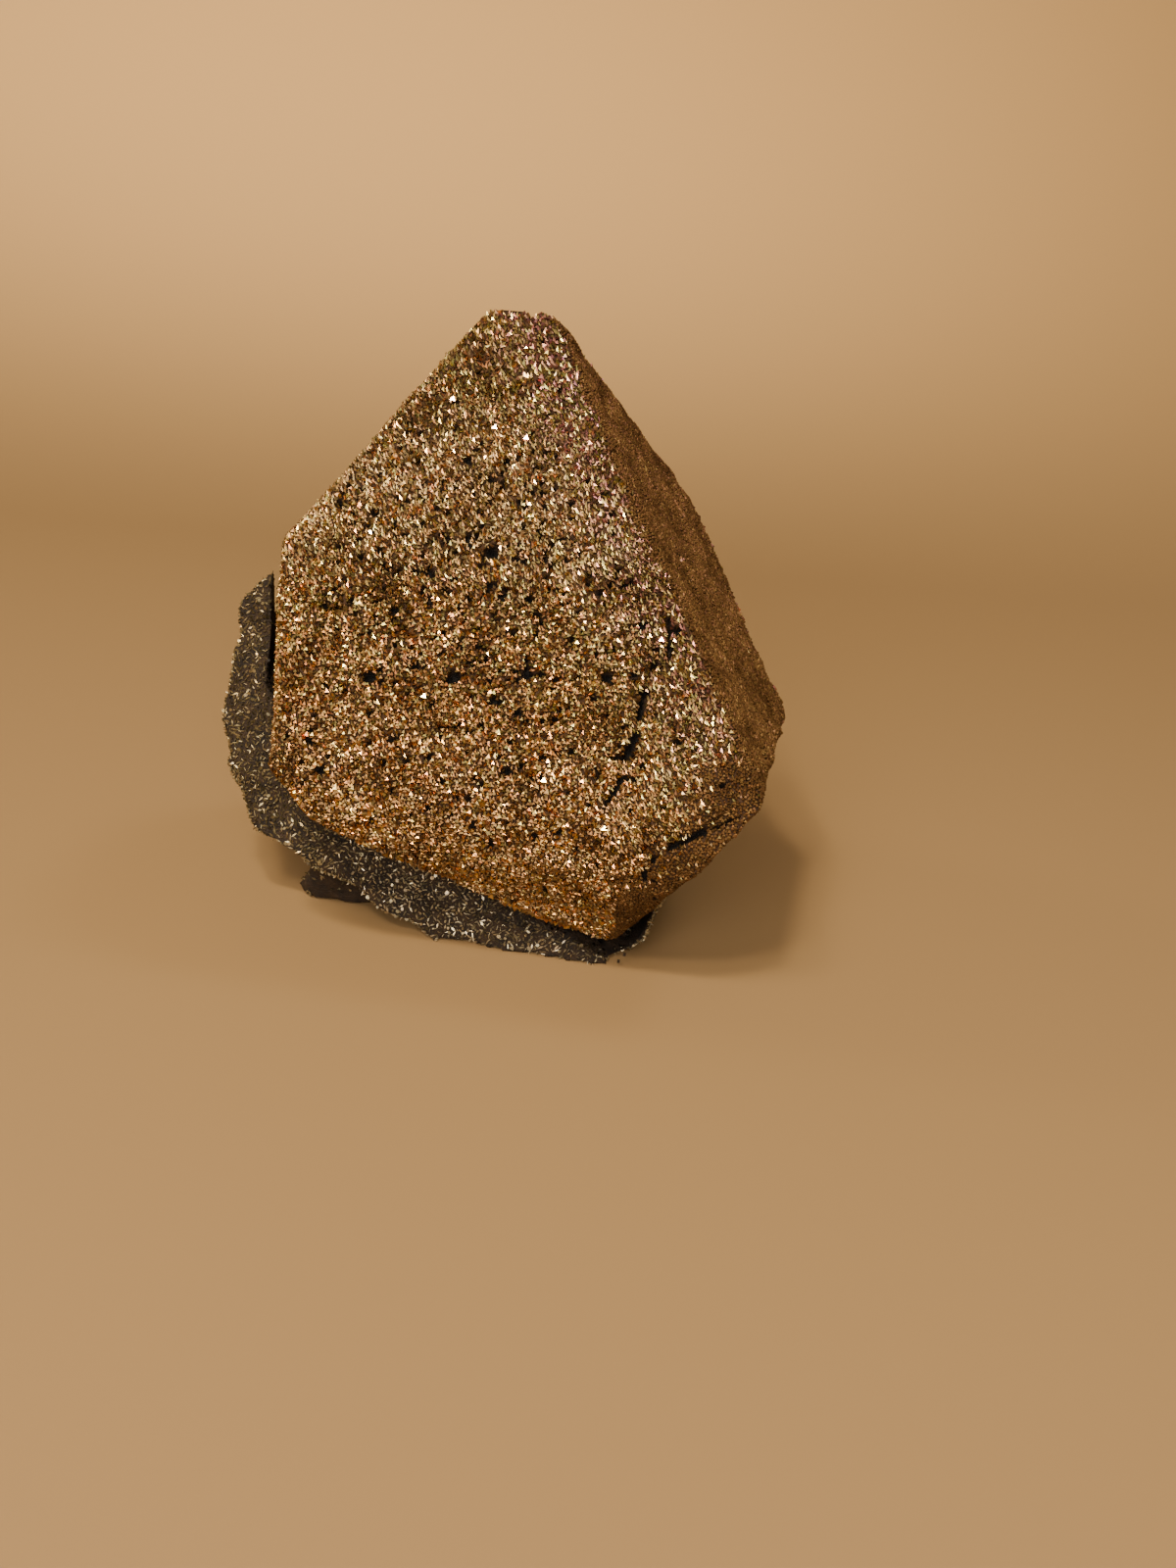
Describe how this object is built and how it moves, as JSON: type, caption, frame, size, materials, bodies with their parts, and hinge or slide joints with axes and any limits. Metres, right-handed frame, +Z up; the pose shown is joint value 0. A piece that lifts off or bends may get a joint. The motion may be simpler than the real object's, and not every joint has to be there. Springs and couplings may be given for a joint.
{
  "type": "pyrite crystal with hematite",
  "caption": "Flattened octahedral pyrite crystal leaning back on a lumpy hematite matrix that rests on a small flat spot.",
  "frame": {"origin": "on the flat spot that the matrix rests on, near its middle", "axes": "+Z up, out of the surface it rests on; -Y towards the viewer who faces the crystal's front; +X to that viewer's right"},
  "size_m": [0.0335, 0.0322, 0.034],
  "materials": {
    "pyrite": "sparkling drusy metallic, tarnished brown gold with green, pink and orange tints",
    "hematite": "steel grey to black, platy and sparkling"
  },
  "bodies": {
    "root": {"pyrite_crystal": "pyrite", "hematite_matrix": "hematite"}
  },
  "joints": []
}
